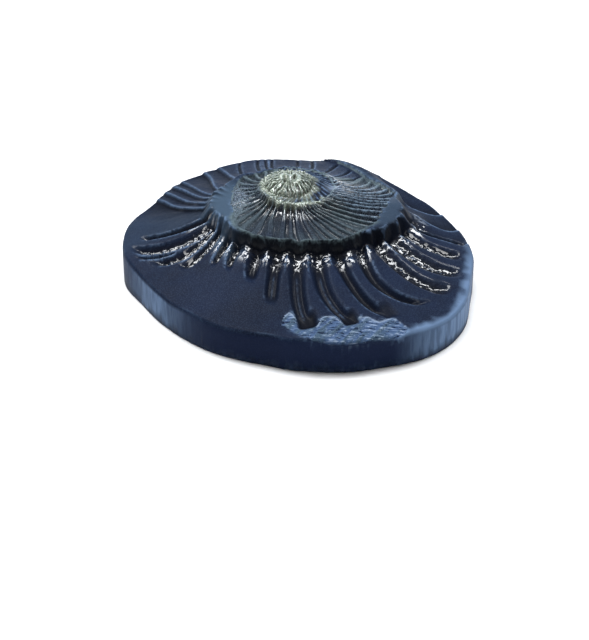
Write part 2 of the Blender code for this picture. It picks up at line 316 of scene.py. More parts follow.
# Camera and lights, in metres and degrees
CAMERA_PLACE = (-0.000568, -0.340415, 0.194279)
CAMERA_ELEVATION = 31.0
LENS_LENGTH = 95.625
SENSOR_HEIGHT = 36.0
FLOOR_WIDTH = 6.0
LIGHT_TARGET = (0.0, 0.0, 0.01)
# Power of the left and the right light as multiples of the side power
LEFT_SHARE, RIGHT_SHARE = 3.4, 1.9
OVERHEAD_COLOUR = (0.97, 0.985, 1.0)
SIDE_COLOUR = (0.95, 0.975, 1.0)
FRONT_COLOUR = (1.0, 1.0, 1.0)
WINDOW_COLOUR = (0.66, 0.80, 1.0)


def smooth_step(low, high, value):
    share = np.clip((value - low) / (high - low), 0.0, 1.0)
    return share * share * (3.0 - 2.0 * share)


def band(rise, fall, value):
    """Share that goes from 0 to 1 over the first range of the value, and back to 0 over the second."""
    return smooth_step(*rise, value) * (1.0 - smooth_step(*fall, value))


def around(values, degrees):
    """Smooth closed curve through values spread evenly over a turn."""
    values = np.asarray(values, float)
    count = len(values)
    place = np.asarray(degrees, float) % 360.0 * count / 360.0
    first = np.floor(place).astype(int)
    share = place - first
    before, start, end, after = (values[(first + step) % count] for step in (-1, 0, 1, 2))
    bend = 2.0 * before - 5.0 * start + 4.0 * end - after
    twist = 3.0 * (start - end) + after - before
    return start + 0.5 * share * (end - before + share * (bend + share * twist))


def value_noise(x, y, size, seed):
    """Smooth noise between -1 and 1 whose lumps are about the given size."""

    def corner(column, row):
        mixed = np.sin(column * 127.1 + row * 311.7 + seed * 74.7) * 43758.5453
        return 2.0 * (mixed - np.floor(mixed)) - 1.0

    column, row = np.floor(x / size), np.floor(y / size)
    across = x / size - column
    along = y / size - row
    across = across * across * (3.0 - 2.0 * across)
    along = along * along * (3.0 - 2.0 * along)
    near = corner(column, row) * (1.0 - across) + corner(column + 1, row) * across
    far = corner(column, row + 1) * (1.0 - across) + corner(column + 1, row + 1) * across
    return near * (1.0 - along) + far * along


def plain_spiral(degrees):
    return SEAM_RADIUS * np.exp(SEAM_GROWTH * np.radians(degrees - SEAM_ANGLE))


def seam_radius(degrees):
    turns = np.radians(degrees)
    wobble = 1.0 + sum(size * np.sin(rate * turns) for rate, size in WOBBLES)
    chatter = SEAM_CHATTER * value_noise(degrees / 4.0, degrees / 90.0, 1.0, 21.0)
    chatter = chatter * smooth_step(*SEAM_CHATTER_FROM, degrees)
    inner = INNER_CHATTER * value_noise(degrees / 9.0, degrees / 50.0, 1.0, 22.0)
    inner = inner * band(*INNER_CHATTER_SPAN, degrees)
    shift = np.interp(degrees, *zip(*SEAM_SHIFTS))
    return plain_spiral(degrees) * wobble + shift + chatter + inner


def seam_height(degrees):
    dropped = RIDGE_DROP * smooth_step(*RIDGE_DROP_ANGLES, degrees)
    return APEX_HEIGHT - CONE_FALL * plain_spiral(degrees) - dropped


def whorl_at(radius, degrees, rim_radius, rim_height):
    """Spiral angle of the whorl edge inside each point, and the radii and heights of the edges round it."""
    spiral = np.full_like(radius, -720.0) + degrees
    inner = seam_radius(spiral)
    inner_height = seam_height(spiral)
    outer = seam_radius(spiral + 360.0)
    outer_height = seam_height(spiral + 360.0)
    for turn in INNER_TURNS:
        edge_angle = degrees + 360.0 * turn
        fade = smooth_step(*SEAM_FADES, edge_angle)
        next_fade = smooth_step(*SEAM_FADES, edge_angle + 360.0)
        edge = seam_radius(edge_angle) * (1.0 - fade) + rim_radius * fade
        following = seam_radius(edge_angle + 360.0) * (1.0 - next_fade) + rim_radius * next_fade
        inside = (radius >= edge) & (edge < rim_radius - 0.05)
        spiral = np.where(inside, edge_angle, spiral)
        inner = np.where(inside, edge, inner)
        outer = np.where(inside, np.minimum(following, rim_radius), outer)
        edge_height = seam_height(edge_angle) * (1.0 - fade) + rim_height * fade
        next_height = seam_height(edge_angle + 360.0) * (1.0 - next_fade) + rim_height * next_fade
        inner_height = np.where(inside, edge_height, inner_height)
        outer_height = np.where(inside, next_height, outer_height)
    return spiral, inner, outer, inner_height, outer_height


def bowed_line(start_angle, middle_angle, end_angle, reach):
    """Spiral angle of a bent rib line, where reach goes from -1 at its inner end to 1 at its outer end."""
    bow = 0.5 * (start_angle + end_angle) - middle_angle
    return middle_angle + 0.5 * (end_angle - start_angle) * reach + bow * reach * reach


def groove_marks(spiral, share, radius):
    """How far each point lies in a rib groove, from 0 to 1, and the height of the spine there."""
    inside = np.zeros_like(radius)
    spine = np.zeros_like(radius)
    for start_angle, middle_angle, end_angle, start, stop, width, ridge in GROOVES:
        reach = np.clip((2.0 * share - start - stop) / (stop - start), -1.3, 1.3)
        aside = np.radians(spiral - bowed_line(start_angle, middle_angle, end_angle, reach)) * radius
        wide = width * (BACK_GROOVE_WIDTH + (1.0 - BACK_GROOVE_WIDTH) * smooth_step(*DEEPENS, middle_angle))
        flare = 1.0 + INNER_FLARE * (middle_angle > FLARE_FROM) * (1.0 - smooth_step(*FLARE_SHARES, share))
        edge = GROOVE_EDGE * (1.0 - SOFTENING * (1.0 - smooth_step(*SOFT_SHARES, share)))
        profile = np.exp(-((np.abs(aside) / (0.5 * wide * flare)) ** edge))
        opening = smooth_step(start - 0.04, start + 0.04, share)
        ends = opening * (1.0 - smooth_step(stop - GROOVE_TAPER, stop + 0.02, share))
        inside = np.maximum(inside, profile * ends)
        crest = np.exp(-((aside / (SPINE_WIDTH * width)) ** 2))
        spine = np.maximum(spine, ridge * crest * ends * smooth_step(*SPINE_STARTS, share))
    return inside, spine


def shingle_drop(spiral, share, radius):
    """How far each point lies below the crest of its overlapping land, and how near a crest, from 0 to 1."""
    depth = np.zeros_like(radius)
    crest = np.zeros_like(radius)
    for group in SHINGLES:
        lines = []
        for start_angle, middle_angle, end_angle, start in group:
            reach = np.clip((2.0 * share - start - 1.0) / (1.0 - start), -1.2, 1.2)
            lines.append(bowed_line(start_angle, middle_angle, end_angle, reach))
        for line, following, (_, _, _, start) in zip(lines[:-1], lines[1:], group):
            after = np.radians(spiral - line) * radius
            spacing = np.maximum(np.radians(following - line) * radius, 0.3)
            along = np.clip(after / spacing, 0.0, 1.0)
            opens = smooth_step(start - 0.04, start + 0.12, share) * np.clip(spacing / 3.0, 0.25, 1.0)
            opens = opens * (1.0 - 0.5 * smooth_step(0.9, 1.0, share))
            fallen = smooth_step(0.0, SHINGLE_DROP, after) * (1.0 - along) ** 1.4 * opens
            depth = np.where((after > 0.0) & (along < 1.0), np.maximum(depth, fallen), depth)
            crest = np.maximum(crest, np.exp(-(((after + 0.1) / 0.35) ** 2)) * opens)
    return depth, crest


def pit_depth(radius, degrees):
    """Depth of the broad pits at the front ends of the grooves."""
    depth = np.zeros_like(radius)
    for angle, distance, length, width, deep in PITS:
        across = np.radians(degrees - angle) * radius / (0.5 * width)
        along = (radius - distance) / (0.5 * length)
        depth = np.maximum(depth, deep * np.exp(-(across**4) - along**4))
    return depth


def rib_label(spiral, share):
    """Angle at which the rib through each point reaches the outer edge of its whorl, found by halving."""
    angles, leans = zip(*RIB_LEANS)
    back = (1.0 - share) ** RIB_BEND
    low, high = spiral - 60.0, spiral + 60.0
    for _ in range(14):
        middle = 0.5 * (low + high)
        past = middle + back * np.interp(middle, angles, leans) > spiral
        low, high = np.where(past, low, middle), np.where(past, middle, high)
    return 0.5 * (low + high)


def fine_rib_valley(spiral, share):
    """How deep each point lies between the fine ribs of the inner whorls, from 0 to 1."""
    label = rib_label(spiral, share)
    label = label + RIB_JITTER * value_noise(label / 11.0, share * 2.5, 1.0, 12.0)
    near = 1.0 - smooth_step(0.12, 0.55, share)
    number = np.interp(label, *zip(*RIB_NUMBERS))
    between = np.abs(np.sin(np.pi * number))
    broad = band(*BROAD_SPAN, spiral) * (1.0 - near)
    valley = smooth_step(0.25 - 0.15 * near + 0.20 * broad, 0.90 + 0.08 * broad, between)
    valley = valley * (0.7 + 0.5 * near) * (0.85 + 0.3 * value_noise(number / 1.3, share, 1.0, 13.0))
    left_back = band(*LEFT_BACK_SPAN, spiral)
    fan = band(*FAN_SPAN, spiral)
    valley = valley * (1.0 + 0.7 * left_back + 0.4 * fan)
    fading = 1.0 - smooth_step(*FINE_RIBS_END, label)
    stop = np.interp(spiral, *zip(*RIB_STOPS))
    ends = smooth_step(-0.1, 0.15, share) * (1.0 - smooth_step(stop - 0.06, stop + 0.02, share))
    return valley * fading * ends


def chip_marks(x, y, radius, degrees, rim_radius):
    """How far each point lies in the chip, its distance in from the upper edge, and its splinters."""
    edge = np.interp(degrees, *zip(*CHIP_EDGE), left=90.0, right=90.0)
    ragged = 0.2 * value_noise(x, y, 1.1, 4.0) + 0.15 * value_noise(x, y, 0.5, 14.0)
    inwards = radius - edge + ragged
    turn = np.radians(SPLINTER_ANGLE)
    across = y * np.cos(turn) - x * np.sin(turn)
    length = x * np.cos(turn) + y * np.sin(turn)
    splinters = value_noise(length / SPLINTER_STRETCH, across, SPLINTER_SIZE, 5.0)
    splinters = splinters + 0.5 * value_noise(length / SPLINTER_STRETCH, across, 0.4, 6.0)
    below = rim_radius - radius - np.interp(degrees, *zip(*CHIP_GAP)) + ragged
    return smooth_step(0.0, 0.25, np.minimum(inwards, below)), np.maximum(inwards, 0.0), splinters


def crack_depth(x, y):
    """Depth of the crooked crack across the top of the dome."""
    nearest = np.full_like(x, 99.0)
    for (x0, y0), (x1, y1) in zip(CRACK[:-1], CRACK[1:]):
        long_x, long_y = x1 - x0, y1 - y0
        share = np.clip(((x - x0) * long_x + (y - y0) * long_y) / (long_x**2 + long_y**2), 0.0, 1.0)
        nearest = np.minimum(nearest, np.hypot(x - x0 - share * long_x, y - y0 - share * long_y))
    return CRACK_DEPTH * np.exp(-((nearest / CRACK_WIDTH) ** 2))


def coil_place(x, y, rim_radius, rim_height, sizes):
    """Where each point lies on the coil, with the grooves that pass it."""
    at = SimpleNamespace(x=x, y=y, rim_radius=rim_radius, radius=np.hypot(x, y))
    at.degrees = np.degrees(np.arctan2(y, x)) % 360.0
    at.spiral, at.inner, at.outer, at.inner_height, at.outer_height = whorl_at(
        at.radius, at.degrees, rim_radius, rim_height
    )
    at.width = np.maximum(at.outer - at.inner, SMALLEST_WIDTH)
    at.share = np.clip((at.radius - at.inner) / at.width, 0.0, 1.0)
    at.groove, at.spine = groove_marks(at.spiral, at.share, at.radius)
    at.deepening = smooth_step(*DEEPENS, at.spiral)
    at.groove_depth = sizes["groove"] * (BACK_GROOVE_DEPTH + (1.0 - BACK_GROOVE_DEPTH) * at.deepening)
    at.away = at.radius - at.inner + WALL_SCALLOP * at.groove * at.groove_depth * (1.0 - at.share) ** 4
    at.front = band(*FRONT_SPAN, at.spiral)
    at.steep = band(*STEEP_SPAN, at.spiral)
    return at


def stepped_height(at):
    """Height of the bare cone with its ledges. Keeps where the flat shoulder ends and where the fall does."""
    angles, shoulders, falls, fall_widths = zip(*STEPS)
    fall = np.interp(at.spiral, angles, falls)
    fall = np.clip(fall, 0.0, MOST_FALL * (at.inner_height - at.outer_height))
    at.shoulder = np.minimum(np.interp(at.spiral, angles, shoulders), MOST_SHOULDER * at.width)
    at.foot = np.minimum(at.shoulder + np.interp(at.spiral, angles, fall_widths), MOST_FOOT * at.width)
    at.past_foot = at.away - at.foot
    slope_share = np.clip(at.past_foot / np.maximum(at.width - at.foot, SMALLEST_WIDTH), 0.0, 1.0)
    sagged = FLANK_SAG * at.width * slope_share * (1.0 - slope_share)
    flank = (at.inner_height - fall) + (at.outer_height - at.inner_height + fall) * slope_share - sagged
    terrace = at.outer_height + TERRACE_TILT * (at.width - at.away)
    flank = terrace + (flank - terrace) * smooth_step(*TERRACE_FADES, at.spiral)
    shelf = at.inner_height - SHOULDER_TILT * at.away
    return shelf + (flank - at.inner_height) * smooth_step(at.shoulder, at.foot, at.away)


def lip_height(at):
    """Height of the crumbled lip along the whorl edges. Keeps where the film of the ledge shows."""
    inner_turn = at.outer < LEDGE_REACH
    ledge = band(*LEDGE_SPAN, at.degrees) * inner_turn
    outside = band(*OUTSIDE_SPAN, at.degrees) * (at.inner < LEDGE_START) * (at.outer > LEDGE_REACH)
    ragged = at.radius - at.inner + 0.5 * value_noise(at.x, at.y, 0.9, 10.0)
    outside = outside * (1.0 - smooth_step(*OUTSIDE_WIDTH, ragged))
    at.ledge = np.maximum(np.exp(-(((at.outer - at.radius - 0.5) / 1.2) ** 2)) * ledge, outside)
    lip_break = 0.7 + 0.6 * value_noise(at.degrees / 3.5, at.radius / 6.0, 1.0, 8.0)
    lip_break = lip_break * (1.0 + 1.2 * inner_turn + 2.4 * ledge * (0.5 + value_noise(at.x, at.y, 1.1, 9.0)))
    crest = np.exp(-(((at.outer - at.radius) / LIP_WIDTH) ** 2))
    return LIP_HEIGHT * lip_break * crest * (at.outer < at.rim_radius - 1.0)


def with_dome(at, height, sizes):
    """Height with the ribbed, knobbly dome and the fine ribs of the inner whorls. Keeps their valleys."""
    bulging = np.exp(-(((at.degrees - DOME_FRONT_ANGLE) / DOME_FRONT_SPREAD) ** 2))
    at.in_dome = np.hypot(at.x + DOME_SHIFT, at.y) * DOME_RADIUS / (DOME_RADIUS + DOME_FRONT * bulging)
    slope = np.clip(1.0 - (at.in_dome / DOME_RADIUS) ** DOME_SIDE_POWER, 0.0, 1.0)
    dome = DOME_FOOT + DOME_RISE * slope**DOME_TOP_POWER
    height = np.where(at.in_dome < DOME_RADIUS, np.maximum(height * (at.spiral > 0.0), dome), height)
    at.on_dome = 1.0 - smooth_step(DOME_RADIUS - 0.5, DOME_RADIUS + 0.2, at.in_dome)

    at.rib_valley = fine_rib_valley(at.spiral, at.share) * np.clip(at.width / 10.0, 0.5, 1.0)
    at.rib_valley = at.rib_valley * (1.0 - at.on_dome)
    label = at.degrees * DOME_RIBS / 360.0
    label = label + 0.5 * value_noise(at.degrees / 12.0, at.radius / 1.4, 1.0, 31.0)
    at.dome_valley = smooth_step(0.35, 0.85, np.abs(np.sin(np.pi * label)))
    at.dome_valley = at.dome_valley * smooth_step(*DOME_RIB_STARTS, at.radius) * at.on_dome
    uneven = value_noise(at.degrees / 10.0, at.radius / 2.0, 1.0, 32.0)
    at.dome_valley = at.dome_valley * (0.75 + 0.5 * uneven)
    height = height - sizes["fine_rib"] * at.rib_valley - DOME_RIB_DEPTH * at.dome_valley
    knobs = sizes["knob"] * (1.0 - 0.6 * smooth_step(*KNOBS_FADE, at.radius)) * at.on_dome
    at.crack = crack_depth(at.x, at.y)
    return height + knobs * value_noise(at.x, at.y, KNOB_SIZE, 3.0) - at.crack


def with_grooves(at, height):
    """Height with the grooves, the overlapping lands, the pits and the chip. Keeps where each is."""
    floor_noise = value_noise(at.x, at.y, 0.95, 41.0) + 0.6 * value_noise(at.x, at.y, 0.5, 42.0)
    height = height - at.groove_depth * at.groove + SPINE_RISE * at.spine * at.groove
    at.shingle, at.crest = shingle_drop(at.spiral, at.share, at.radius)
    height = height - SHINGLE_DEPTH * at.shingle + 0.05 * at.crest
    near, far = DULL_REACH
    at.dull = 1.0 - 0.97 * at.front * smooth_step(at.foot + near, at.foot + far, at.away)
    floor = GROOVE_FLOOR_ROUGHNESS * floor_noise * at.groove * (0.3 + 0.7 * at.deepening) * at.dull
    at.pits = pit_depth(at.radius, at.degrees)
    height = height + floor - at.pits * (1.0 - at.groove)
    at.chip, at.chip_in, at.splinters = chip_marks(at.x, at.y, at.radius, at.degrees, at.rim_radius)
    at.chip = at.chip * (1.0 - smooth_step(0.25, 0.6, np.maximum(at.pits, at.groove)))
    height = height - at.chip * (CHIP_DEPTH + CHIP_FALL * at.chip_in + SPLINTER_DEPTH * at.splinters)
    at.wet_land = band((-0.1, 0.4), (2.2, 4.2), at.past_foot)
    return height + 0.5 * GROOVE_FLOOR_ROUGHNESS * floor_noise * at.wet_land * at.steep * (1.0 - at.groove)


def with_roughness(at, height):
    """Height with the grains, ripples and lumps of the ground. Keeps where it is granular."""
    at.granular = np.interp(at.spiral, *zip(*GRANULAR))
    at.granular = at.granular * (at.spiral < GRANULAR_TO) * (at.spiral > GRANULAR_FROM)
    at.granular = at.granular * smooth_step(DOME_RADIUS - 0.5, DOME_RADIUS + 1.0, at.radius)
    grains = value_noise(at.x, at.y, GRANULE_SIZE, 51.0) + 0.6 * value_noise(at.x, at.y, 0.27, 52.0)
    ripples = value_noise(at.spiral / 7.0, at.share * 2.2 + at.spiral / 60.0, 1.0, 61.0)
    smooth_ground = smooth_step(*RIPPLE_SHARES, at.share) * (1.0 - at.groove)
    smooth_ground = smooth_ground * (at.spiral > RIPPLES_FROM) * (at.spiral < RIPPLES_TO)
    height = height + GRANULE_HEIGHT * at.granular * grains + RIPPLE_HEIGHT * ripples * smooth_ground
    for lump_height, size, seed in LUMPS:
        height = height + lump_height * value_noise(at.x, at.y, size, seed)
    return height


def wetness(at):
    """How wet each point looks, from 0 to 1: groove floors, the lands beside them and the inner seams."""
    dull = at.dull * (1.0 - at.steep * (1.0 - smooth_step(-0.1, 0.4, at.past_foot)))
    down_wall = (at.away - at.shoulder) / np.maximum(at.foot - at.shoulder, SMALLEST_WIDTH)
    on_wall = smooth_step(0.4, 0.8, down_wall) * (at.away < at.foot)
    land = np.maximum(at.wet_land, 0.15 * on_wall * (1.0 - at.groove)) * band(*WET_SPAN, at.spiral)
    whorl = (at.spiral > WHORL_FROM) * (at.spiral < WHORL_TO) * (1.0 - at.on_dome)
    near_seam = 1.0 - smooth_step(0.26, 0.46, at.share)
    shine = np.maximum(near_seam * smooth_step(*SHINE_FROM, at.spiral), 0.35 * at.fan)
    shine = np.maximum(np.maximum(shine, 0.15 * at.granular), 0.3 * at.rib_valley)
    shine = shine * whorl * (1.0 - smooth_step(*SHINE_TO, at.spiral))
    floor = at.groove * dull * at.deepening * (1.0 - 0.85 * at.spine)
    return np.maximum(np.maximum(floor, 0.7 * land), shine)


def shoulder_paleness(at):
    """How strongly each point is painted the pale shoulder colour, from 0 to 1: the shoulders beside the coil
    and the smooth left land.
    """
    shoulder = band(*PALE_SHOULDER_SPAN, at.spiral) * (1.0 - smooth_step(0.18, 0.36, at.share))
    back = smooth_step(*BACK_PALE_FROM, at.spiral) * (at.spiral < BACK_PALE_TO)
    back = back * (0.5 - 0.5 * smooth_step(0.14, 0.32, at.share))
    left = 0.2 * band(*LEFT_PALE_SPAN, at.spiral)
    return np.maximum(np.maximum(shoulder, back), left) * (1.0 - at.groove)


def relief(x, y, rim_radius, rim_height, sizes):
    """Height of the upper face at points given from the middle of the coil, and the marks of its finish and
    of the shade and highlights painted on it.
    """
    at = coil_place(x, y, rim_radius, rim_height, sizes)
    height = stepped_height(at)
    lip = lip_height(at)
    height = with_dome(at, height + lip, sizes)
    height = with_grooves(at, height)
    height = with_roughness(at, height)
    at.fan = band(*FAN_TONE_SPAN, at.spiral)
    # Painted shade under the lips of the steep whorl edge: the band from the shoulder to just past the foot
    # is painted near-black
    under_lip_painted_shade = smooth_step(at.shoulder - 0.2, at.shoulder + 0.2, at.away)
    under_lip_painted_shade = under_lip_painted_shade * (1.0 - smooth_step(0.2, 2.0, at.past_foot))
    near_edge = 1.0 - smooth_step(0.5, 1.1, at.radius - at.inner)
    marks = {
        "groove": np.maximum(at.groove, np.clip(at.pits, 0.0, 1.0)),
        "spine": np.clip(at.spine, 0.0, 1.0) * at.groove,
        "under_lip_painted_shade": under_lip_painted_shade * at.steep,
        "wet": wetness(at),
        "pale_shoulder": shoulder_paleness(at),
        # Crests of the overlapping lands, where a pale highlight is painted
        "crest": at.crest,
        # Drop behind each shingle crest, where shade is painted near-black
        "shingle": at.shingle,
        "in_dome": at.in_dome,
        "fan": at.fan,
        "edge": near_edge * (at.spiral > EDGE_FROM) * (at.spiral < EDGE_TO),
        "ledge": at.ledge,
        "chip": at.chip,
        "chip_in": at.chip_in,
        "splinters": at.splinters,
        # Valleys between the fine ribs and on the dome, and the crack, where shade is painted dark
        "valley": np.maximum(np.maximum(at.rib_valley, at.dome_valley), at.crack / CRACK_DEPTH),
        "granular": at.granular,
        "lip": lip / LIP_HEIGHT,
        "spiral": at.spiral,
        "share": at.share,
    }
    return height, marks


def outline_box_middle():
    """Middle of the outline's bounding rectangle, measured from the middle of its radii."""
    every = np.arange(0.0, 360.0, 0.25)
    reach = around(DISC_RADII, every)
    outline = np.stack([reach * np.cos(np.radians(every)), reach * np.sin(np.radians(every))])
    return 0.5 * (outline.max(axis=1) + outline.min(axis=1))


def rim_at(degrees):
    """Reach of the rim at angles about the disc's middle, and the rim's place seen from the coil."""
    reach = around(DISC_RADII, degrees)
    out_x = reach * np.cos(np.radians(degrees)) - COIL_X
    out_y = reach * np.sin(np.radians(degrees)) - COIL_Y
    return reach, out_x, out_y, np.hypot(out_x, out_y)


def fossil_points(spots, sizes):
    """Places on the fossil, in millimetres, of points of the unit disc."""
    across = np.hypot(spots[:, 0], spots[:, 1])
    degrees = np.degrees(np.arctan2(spots[:, 1], spots[:, 0])) % 360.0
    middle_x, middle_y = outline_box_middle()
    reach, out_x, out_y, rim_radius = rim_at(degrees)
    rim_height = around(RIM_HEIGHTS, degrees)
    height, _ = relief(across * out_x, across * out_y, rim_radius, rim_height, sizes)
    worn = np.clip(1.0 - rim_radius * (1.0 - across) / RIM_ROUNDING, 0.0, 1.0)
    height = height - RIM_ROUNDING * (1.0 - np.sqrt(1.0 - worn * worn))
    level = spots[:, 2]
    around_wall = np.radians(degrees) * reach
    flats = WALL_FLATS * (value_noise(around_wall, level * 0.0, WALL_FLAT_SIZE, 71.0) - 0.2)
    flats = flats + WALL_MARKS * value_noise(around_wall, level * 3.0, 1.1, 72.0)
    flats = flats * smooth_step(0.985, 1.0, across)
    inset = 1.0 - FOOT_ROUNDING / rim_radius * (level < 0.5 / WALL_ROWS) + flats / rim_radius
    x = COIL_X - middle_x + across * out_x * inset
    y = COIL_Y - middle_y + across * out_y * inset
    return np.stack([x, y, level * height], axis=1)


def choose_edges(obj, test):
    """Selects, in edit mode, the edges whose middle passes the test, and nothing else."""
    mesh = bmesh.from_edit_mesh(obj.data)
    for face in mesh.faces:
        face.select = False
    for edge in mesh.edges:
        edge.select = False
    for vertex in mesh.verts:
        vertex.select = False
    for edge in mesh.edges:
        edge.select = test(0.5 * (edge.verts[0].co + edge.verts[1].co))
    mesh.select_flush_mode()
    bmesh.update_edit_mesh(obj.data)


def spun_disc(name):
    """Closed disc of radius 1 and height 1, spun from half of its section."""
    bpy.ops.object.select_all(action="DESELECT")
    bpy.ops.mesh.primitive_plane_add(size=1.0, location=(0.5, 0.0, 0.5), rotation=(0.5 * np.pi, 0.0, 0.0))
    disc = bpy.context.object
    disc.name = name
    bpy.ops.object.transform_apply(location=True, rotation=True, scale=True)
    bpy.ops.object.mode_set(mode="EDIT")
    bpy.ops.mesh.select_mode(type="EDGE")
    bpy.ops.mesh.select_all(action="SELECT")
    bpy.ops.mesh.delete(type="ONLY_FACE")
    choose_edges(disc, lambda middle: middle.x < 0.1)
    bpy.ops.mesh.delete(type="EDGE")
    choose_edges(disc, lambda middle: middle.z > 0.9)
    for cuts in TOP_CUTS:
        bpy.ops.mesh.subdivide(number_cuts=cuts)
    choose_edges(disc, lambda middle: middle.x > 0.99 and 0.1 < middle.z < 0.9)
    bpy.ops.mesh.subdivide(number_cuts=WALL_ROWS - 1)
    choose_edges(disc, lambda middle: middle.z < 0.001)
    bpy.ops.mesh.subdivide(number_cuts=UNDER_ROWS - 1)
    bpy.ops.object.mode_set(mode="OBJECT")
    bpy.ops.object.modifier_add(type="SCREW")
    turned = disc.modifiers[-1]
    turned.steps = turned.render_steps = SPOKES
    turned.use_merge_vertices = True
    turned.merge_threshold = 1e-6
    bpy.ops.object.modifier_apply(modifier=turned.name)
    bpy.ops.object.mode_set(mode="EDIT")
    bpy.ops.mesh.select_all(action="SELECT")
    bpy.ops.mesh.remove_doubles(threshold=1e-6)
    bpy.ops.mesh.normals_make_consistent(inside=False)
    bpy.ops.object.mode_set(mode="OBJECT")
    return disc


def vertex_vectors(mesh, name):
    """One vector of each vertex, such as its place or its normal."""
    values = np.empty(3 * len(mesh.vertices))
    mesh.vertices.foreach_get(name, values)
    return values.reshape(-1, 3)


def bulges(mesh):
    """How sharply the surface bulges out, above 0, or sinks in, below 0, at each vertex, per millimetre."""
    places = vertex_vectors(mesh, "co") / MM
    normals = vertex_vectors(mesh, "normal")
    ends = np.empty(2 * len(mesh.edges), np.int64)
    mesh.edges.foreach_get("vertices", ends)
    first, second = ends.reshape(-1, 2).T
    step = places[second] - places[first]
    square = np.maximum((step * step).sum(axis=1), 1e-6)
    count = np.bincount(first, minlength=len(places)) + np.bincount(second, minlength=len(places))
    bend_first = -2.0 * (normals[first] * step).sum(axis=1) / square
    bend_second = 2.0 * (normals[second] * step).sum(axis=1) / square
    bend = np.bincount(first, bend_first, len(places)) + np.bincount(second, bend_second, len(places))
    bend = np.clip(bend / count, -6.0, 6.0)
    for _ in range(2):
        shared = np.bincount(first, bend[second], len(places)) + np.bincount(second, bend[first], len(places))
        bend = 0.5 * bend + 0.5 * shared / count
    return bend


def add_marks(disc, sizes):
    """Stores, as attributes of the disc, where each finish of the stone shows and where shade, highlights and
    reflections are painted.
    """
    mesh = disc.data
    places = vertex_vectors(mesh, "co") / MM
    middle_x, middle_y = outline_box_middle()
    disc_x, disc_y = places[:, 0] + middle_x, places[:, 1] + middle_y
    disc_angle = np.degrees(np.arctan2(disc_y, disc_x)) % 360.0
    reach, _, _, rim_radius = rim_at(disc_angle)
    x, y = disc_x - COIL_X, disc_y - COIL_Y
    _, marks = relief(x, y, rim_radius, around(RIM_HEIGHTS, disc_angle), sizes)
    spiral = marks["spiral"]
    inwards = reach - np.hypot(disc_x, disc_y)
    up = vertex_vectors(mesh, "normal")[:, 2]
    face = np.maximum(smooth_step(0.1, 0.4, up), smooth_step(0.5, 1.0, inwards)) * (places[:, 2] > 1.0)

    film = 1.0 - smooth_step(5.4, 7.4, marks["in_dome"] + 0.8 * value_noise(x, y, 2.0, 81.0))
    film = np.maximum(film, marks["ledge"] * smooth_step(-0.7, 0.2, value_noise(x, y, 1.0, 83.0)))
    wall_side = np.cos(np.radians(disc_angle - PALE_SIDE_ANGLE))
    wall_left = np.exp(-(((disc_angle - PALE_LEFT_ANGLE) / PALE_LEFT_SPREAD) ** 2))
    rim_wear = 1.0 - smooth_step(0.6, 2.6, inwards + 0.8 * value_noise(x, y, 1.6, 82.0))
    quiet = smooth_step(0.3, 0.42, marks["share"]) * band(*QUIET_SPAN, spiral)
    bend = bulges(mesh)
    rubbed = smooth_step(0.15, 0.9, bend) * (1.0 - 0.85 * quiet)
    rubbed = rubbed * (1.0 - 0.8 * marks["spine"]) * (1.0 + 0.8 * marks["fan"])
    inner_whorl = (spiral > WHORL_COLOUR_FROM) & (spiral < WHORL_TO)
    knot_x, knot_y = (x - KNOT_X) / KNOT_WIDTHS[0], (y - KNOT_Y) / KNOT_WIDTHS[1]
    kept_as_they_are = ("wet", "pale_shoulder", "crest", "shingle", "chip", "valley", "granular")
    on_face = {name: marks[name] for name in kept_as_they_are}
    # The groove attribute also carries the painted shade under the lips, in the near-black groove colour
    on_face["groove"] = np.maximum(marks["groove"] * (1.0 - 0.4 * marks["spine"]), 0.97 * marks["under_lip_painted_shade"])
    on_face["chip_rim"] = np.exp(-((marks["chip_in"] / 0.4) ** 2)) * marks["chip"]
    on_face["knot"] = np.exp(-(knot_x**2) - knot_y**2)
    on_face["film"] = film
    on_face["lip"] = np.clip(marks["lip"], 0.0, 1.0)
    on_face["rim_wear"] = rim_wear * smooth_step(0.75, 0.95, wall_side)
    on_face["inner_whorl"] = np.maximum(inner_whorl, marks["edge"]) * (1.0 - 0.45 * marks["fan"])

    stored = {name: values * face for name, values in on_face.items()}
    stored["bulge"] = rubbed * (1.0 - 0.45 * band(*BACK_RIBS_SPAN, spiral))
    # Painted shade in the hollows: the more concave a place, the darker it is painted
    stored["hollow_painted_shade"] = np.clip(-bend / 3.0, 0.0, 1.0)
    stored["wall"] = (1.0 - face) * (places[:, 2] > 0.3)
    # Pale wall on the sides: partly pale worn stone, partly a painted reflection of the bright room
    stored["pale_side_and_sheen"] = np.clip(smooth_step(0.86, 1.0, wall_side) + 0.75 * wall_left, 0.0, 1.0)
    stored["splinters"] = 0.5 + 0.4 * marks["splinters"]
    for name, values in stored.items():
        attribute = mesh.attributes.new(name, "FLOAT", "POINT")
        attribute.data.foreach_set("value", np.ascontiguousarray(values, np.float32))


def add_node(tree, kind, inputs=None, **settings):
    """New shader node. An input is given by its name or number, as a value or as the socket that feeds it."""
    node = tree.nodes.new(kind)
    for name, value in settings.items():
        setattr(node, name, value)
    for socket, value in (inputs or {}).items():
        if isinstance(value, bpy.types.NodeSocket):
            tree.links.new(value, node.inputs[socket])
        else:
            node.inputs[socket].default_value = value
    return node


def mixed(tree, share, first, second):
    """Colour between two colours by a share."""
    inputs = {0: share, 6: first, 7: second}
    node = add_node(tree, "ShaderNodeMix", inputs, data_type="RGBA", blend_type="MIX")
    node.clamp_factor = True
    return node.outputs[2]


def sums(tree, operation, *values):
    """Result of one arithmetic step on sockets or numbers."""
    node = add_node(tree, "ShaderNodeMath", dict(enumerate(values)), operation=operation)
    return node.outputs[0]


